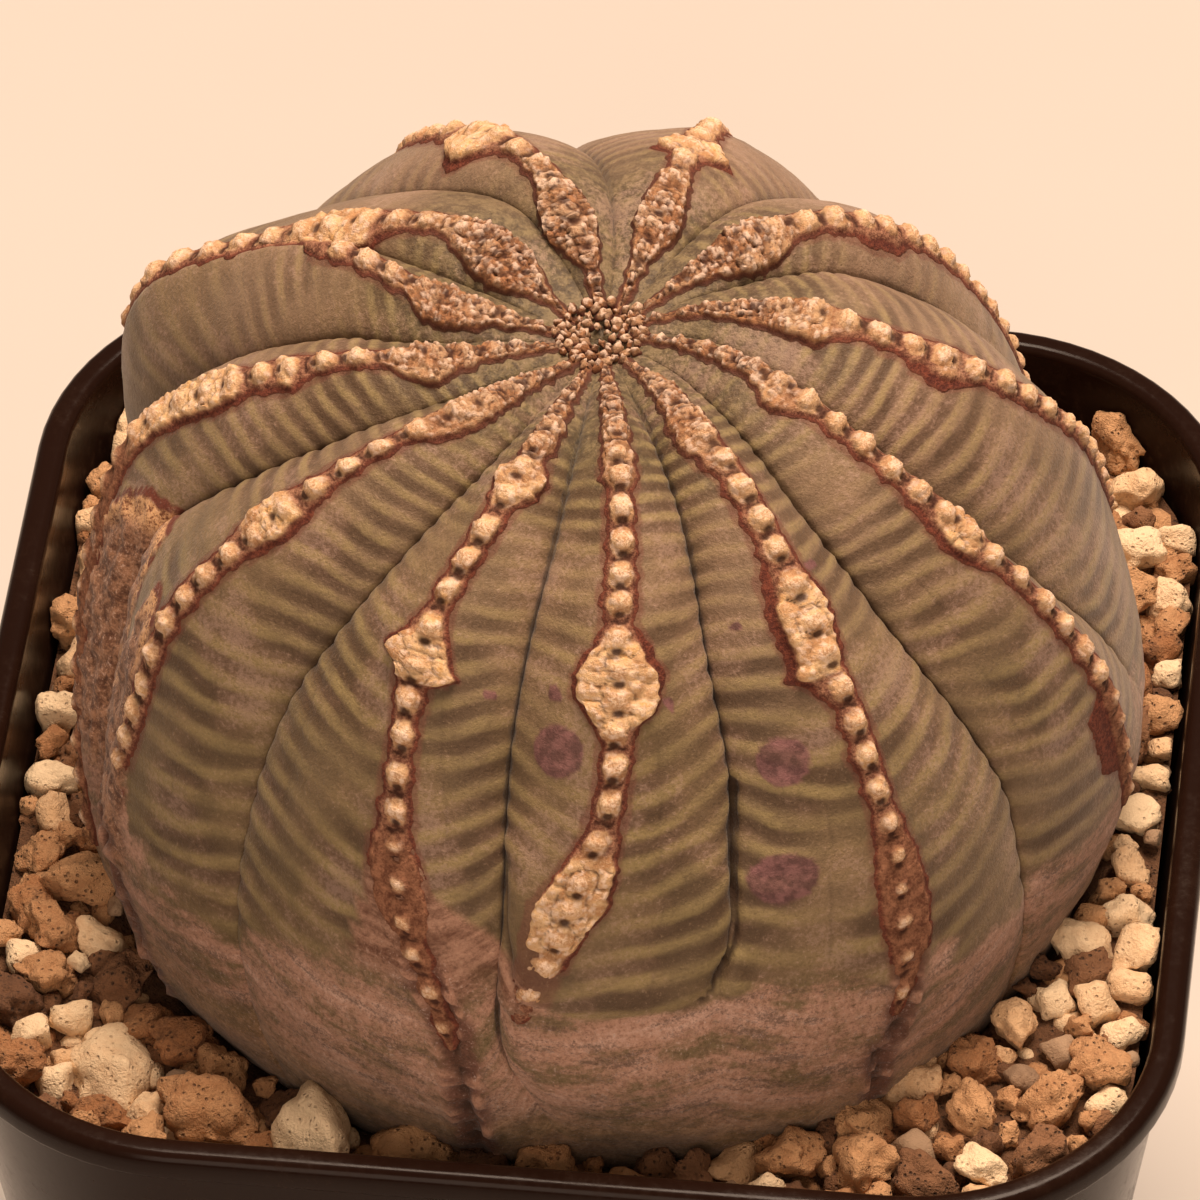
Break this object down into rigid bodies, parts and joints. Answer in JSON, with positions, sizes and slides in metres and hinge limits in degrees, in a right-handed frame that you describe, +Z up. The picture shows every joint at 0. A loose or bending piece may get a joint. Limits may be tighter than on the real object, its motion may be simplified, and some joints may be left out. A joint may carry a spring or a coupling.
{
  "type": "potted baseball plant",
  "caption": "Squat ribbed succulent ball with knobbly cork seams on its rib crests, standing in gravel in a rounded-square plastic pot.",
  "frame": {"origin": "middle of the pot's footprint, on the plane that its foot ring stands on", "axes": "+Z up along the pot's axis, +X and +Y square to the pot's sides, the plant's front towards -Y"},
  "size_m": [0.09, 0.09, 0.1199],
  "materials": {
    "pot_plastic": "black moulded plastic, glossy, with faint scuffs and a round bead at the rim",
    "gravel_mix": "dry matt mineral stones: cream pumice, orange-brown and dark brown fired clay, a few grey",
    "plant_skin": "olive green satin skin with fine purplish cross bands, pinkish bark at the base",
    "cork": "dry cream to tan cork with rust-brown edges, matt"
  },
  "bodies": {
    "root": {"pot": "pot_plastic", "gravel": "gravel_mix", "plant_body": "plant_skin", "cork_crests": "cork"}
  },
  "joints": []
}
